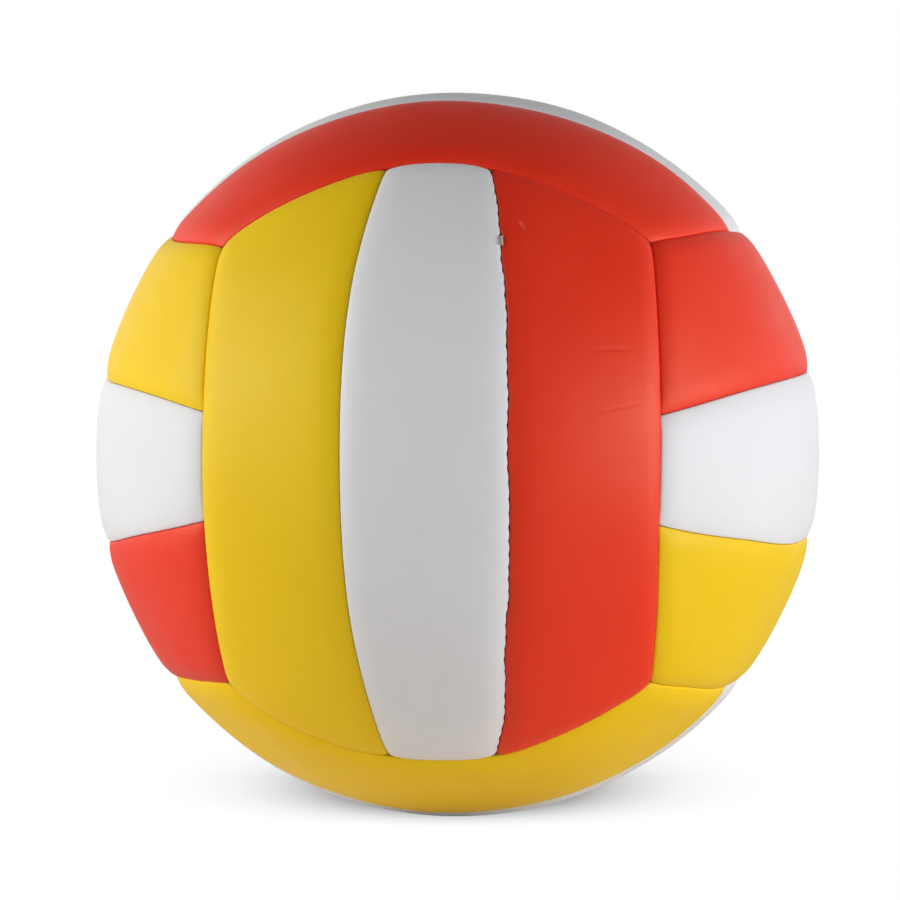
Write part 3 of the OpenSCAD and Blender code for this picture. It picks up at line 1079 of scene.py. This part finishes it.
def open_for_valve(piece, rounding):
    """Opens the valve's hole through a layer, with its outer rim rounded over."""
    bm = bmesh.new()
    bm.from_mesh(piece.data)
    outer, inner = ragged_hole(bm, True), ragged_hole(bm, False)
    mouth = VALVE_HOLE_R + rounding
    top, bottom = surface_height(outer, mouth), surface_height(inner, VALVE_HOLE_R)
    rings = [outer]
    for turn in np.radians([0, 30, 60, 90]):
        radius = mouth - rounding * math.sin(turn)
        rings.append(ring_of_edges(bm, radius, top - rounding * (1 - math.cos(turn))))
    rings += [ring_of_edges(bm, VALVE_HOLE_R, bottom), inner]
    added = []
    for ring, following in zip(rings, rings[1:]):
        added += bmesh.ops.bridge_loops(bm, edges=ring + following)["faces"]
    for face in added:
        face.smooth = True
    bmesh.ops.recalc_face_normals(bm, faces=bm.faces)
    bm.to_mesh(piece.data)
    bm.free()


for piece in pieces:
    if "back_middle" in piece.name:
        is_skin = "skin" in piece.name
        open_for_valve(piece, SKIN_HOLE_ROUNDING if is_skin else UNDER_HOLE_ROUNDING)

BODY = next(iter(frame["bodies"]))
for piece in pieces:
    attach(piece, BODY)

# Studio

ball_low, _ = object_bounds()

FLOOR_R = 4
FLOOR_GREY = 0.86

# The floor as the camera sees it: white, with a painted shadow of the ball close to it. The
# painted shadow is darker where the ball covers more of the floor. It is soft and narrow, and it
# deepens from a little before the ball to behind it, along a line that is turned a little from
# +Y. SEEN_LIT is how little the lamps add to what the camera sees of it, and TABLE_GLOW is the
# glow by which the floor lights the ball.
SHADOW_REACH = 0.6
SHADOW_TURN = math.radians(5.2)
SHADOW_START, SHADOW_FULL = -0.05, 0.11
SHADOW_HALF_WIDTH = 0.038
SHADOW_SHAPE = 1.6
SHADOW_DEEPENING = 2.0
SHADOW_STRENGTH = 6.2
SHADOW_MOST = 0.95
SEEN_LIT = 0.04
TABLE_GLOW = 0.045


def studio_floor():
    """A white light table, on which only a painted close shadow of the ball shows."""
    bm = bmesh.new()
    bmesh.ops.create_circle(bm, cap_ends=True, segments=96, radius=FLOOR_R)
    bmesh.ops.translate(bm, verts=bm.verts, vec=(0, 0, ball_low.z))
    finish = Finish("floor_white")
    finish.set(Base_Color=(FLOOR_GREY, FLOOR_GREY, FLOOR_GREY, 1))
    finish.set(Roughness=0.9, Specular_IOR_Level=0.1)
    finish.set(Emission_Color=(1, 1, 1, 1), Emission_Strength=TABLE_GLOW)
    sideways = (math.cos(SHADOW_TURN), math.sin(SHADOW_TURN), 0)
    backwards = (-math.sin(SHADOW_TURN), math.cos(SHADOW_TURN), 0)
    beside = finish.vector("DOT_PRODUCT", finish.place, sideways, "Value")
    behind = finish.vector("DOT_PRODUCT", finish.place, backwards, "Value")
    openness = finish.node("ShaderNodeAmbientOcclusion", {"Distance": SHADOW_REACH}, samples=16)
    covered = finish.math("SUBTRACT", 1.0, openness.outputs["AO"])
    off_middle = finish.math("ABSOLUTE", finish.math("DIVIDE", beside, SHADOW_HALF_WIDTH))
    off_middle = finish.math("POWER", off_middle, SHADOW_SHAPE)
    narrow = finish.math("EXPONENT", finish.math("MULTIPLY", off_middle, -1.0))
    way_back = finish.ramp(behind, SHADOW_START, SHADOW_FULL)
    deepening = finish.math("POWER", way_back, SHADOW_DEEPENING)
    # Painted shadow: how dark the floor is drawn here, from the ball's cover, the narrow shape and
    # the deepening behind it
    painted_shadow = finish.math("MULTIPLY", finish.math("MULTIPLY", covered, narrow), deepening)
    painted_shadow = finish.math("MINIMUM", finish.math("MULTIPLY", painted_shadow, SHADOW_STRENGTH), SHADOW_MOST)
    level = finish.math("SUBTRACT", 1.0, painted_shadow)
    seen_colour = {"Color": (SEEN_LIT, SEEN_LIT, SEEN_LIT, 1)}
    lit = finish.node("ShaderNodeBsdfDiffuse", seen_colour).outputs[0]
    added = finish.node("ShaderNodeEmission", {"Strength": level}).outputs[0]
    seen = finish.node("ShaderNodeAddShader", {0: lit, 1: added}).outputs[0]
    camera_ray = finish.node("ShaderNodeLightPath").outputs["Is Camera Ray"]
    by_ray = {0: camera_ray, 1: finish.shader.outputs[0], 2: seen}
    both = finish.node("ShaderNodeMixShader", by_ray).outputs[0]
    finish.tree.links.new(both, finish.tree.nodes["Material Output"].inputs["Surface"])
    floor = finish_mesh(bm, "studio_floor", finish.material)


# The world's light from level with the ball and from above it, and the heights, on a ball of
# radius 1, at which the fill has its least and at which the mirrored backdrop starts to fade
# and has faded
FILL_LOW, FILL_HIGH = 0.39, 0.03
FILL_END = 0.8
BACKDROP_TOP, BACKDROP_END = 0.25, 0.7


def studio_world():
    """Soft white light that is weaker from above, before a backdrop that looks white."""
    world = bpy.data.worlds.new("studio")
    bpy.context.scene.world = world
    world.use_nodes = True
    tree = world.node_tree
    way = add_node(tree, "ShaderNodeTexCoord").outputs["Generated"]
    height = add_node(tree, "ShaderNodeSeparateXYZ", {0: way}).outputs["Z"]
    fill = map_range(tree, height, 0.0, FILL_END, FILL_LOW, FILL_HIGH)
    backdrop = map_range(tree, height, BACKDROP_TOP, BACKDROP_END, 1.0, FILL_HIGH)
    path = add_node(tree, "ShaderNodeLightPath").outputs
    rays = {0: path["Is Glossy Ray"], 1: path["Is Transmission Ray"]}
    mirrored = add_node(tree, "ShaderNodeMath", rays, operation="MAXIMUM").outputs[0]
    reflected = add_node(tree, "ShaderNodeMix", {0: mirrored, 2: fill, 3: backdrop}).outputs[0]
    by_ray = {0: path["Is Camera Ray"], 2: reflected, 3: 1.0}
    level = add_node(tree, "ShaderNodeMix", by_ray).outputs[0]
    background = tree.nodes["Background"].inputs
    tree.links.new(level, background["Strength"])
    background["Color"].default_value = (1, 1, 1, 1)


def softbox(name, place, size, power, tint):
    """A square soft light that looks at the ball."""
    lamp = bpy.data.lights.new(name, "AREA")
    lamp.shape = "RECTANGLE"
    lamp.size, lamp.size_y = size
    lamp.energy = power
    lamp.color = tint
    light = bpy.data.objects.new(name, lamp)
    light.location = place
    light.rotation_euler = (-Vector(place)).to_track_quat("-Z", "Y").to_euler()
    bpy.context.scene.collection.objects.link(light)


# Each softbox: its place, its two sides, its power and its tint
SOFTBOXES = {
    "left_softbox": ((-1.2, -0.32, 0.44), (1.0, 0.8), 12.7, (1.0, 0.995, 0.97)),
    "right_softbox": ((1.2, -0.34, 0.0), (1.0, 0.8), 17.4, (0.98, 0.985, 1.0)),
}

studio_floor()
studio_world()
for name, light in SOFTBOXES.items():
    softbox(name, *light)

CAMERA_AZIMUTH = math.radians(5.18)
CAMERA_ELEVATION = math.radians(2.41)
CAMERA_ROLL = math.radians(-0.17)
CAMERA_DISTANCE = 16.2 * BALL_R
PICTURE = 900
FOCAL_PIXELS = 5852
BALL_CENTRE_PIXEL = (457.7, 453.8)
SENSOR = 36

camera = bpy.data.objects.new("camera", bpy.data.cameras.new("camera"))
bpy.context.scene.collection.objects.link(camera)
towards = Vector(
    (
        math.sin(CAMERA_AZIMUTH) * math.cos(CAMERA_ELEVATION),
        -math.cos(CAMERA_AZIMUTH) * math.cos(CAMERA_ELEVATION),
        math.sin(CAMERA_ELEVATION),
    )
)
turn = towards.to_track_quat("Z", "Y").to_matrix() @ Matrix.Rotation(CAMERA_ROLL, 3, "Z")
camera.matrix_world = Matrix.Translation(towards * CAMERA_DISTANCE) @ turn.to_4x4()
camera.data.sensor_width = SENSOR
camera.data.lens = FOCAL_PIXELS * SENSOR / PICTURE
camera.data.shift_x = (PICTURE / 2 - BALL_CENTRE_PIXEL[0]) / PICTURE
camera.data.shift_y = (BALL_CENTRE_PIXEL[1] - PICTURE / 2) / PICTURE
bpy.context.scene.camera = camera
bpy.context.scene.view_settings.view_transform = "Standard"
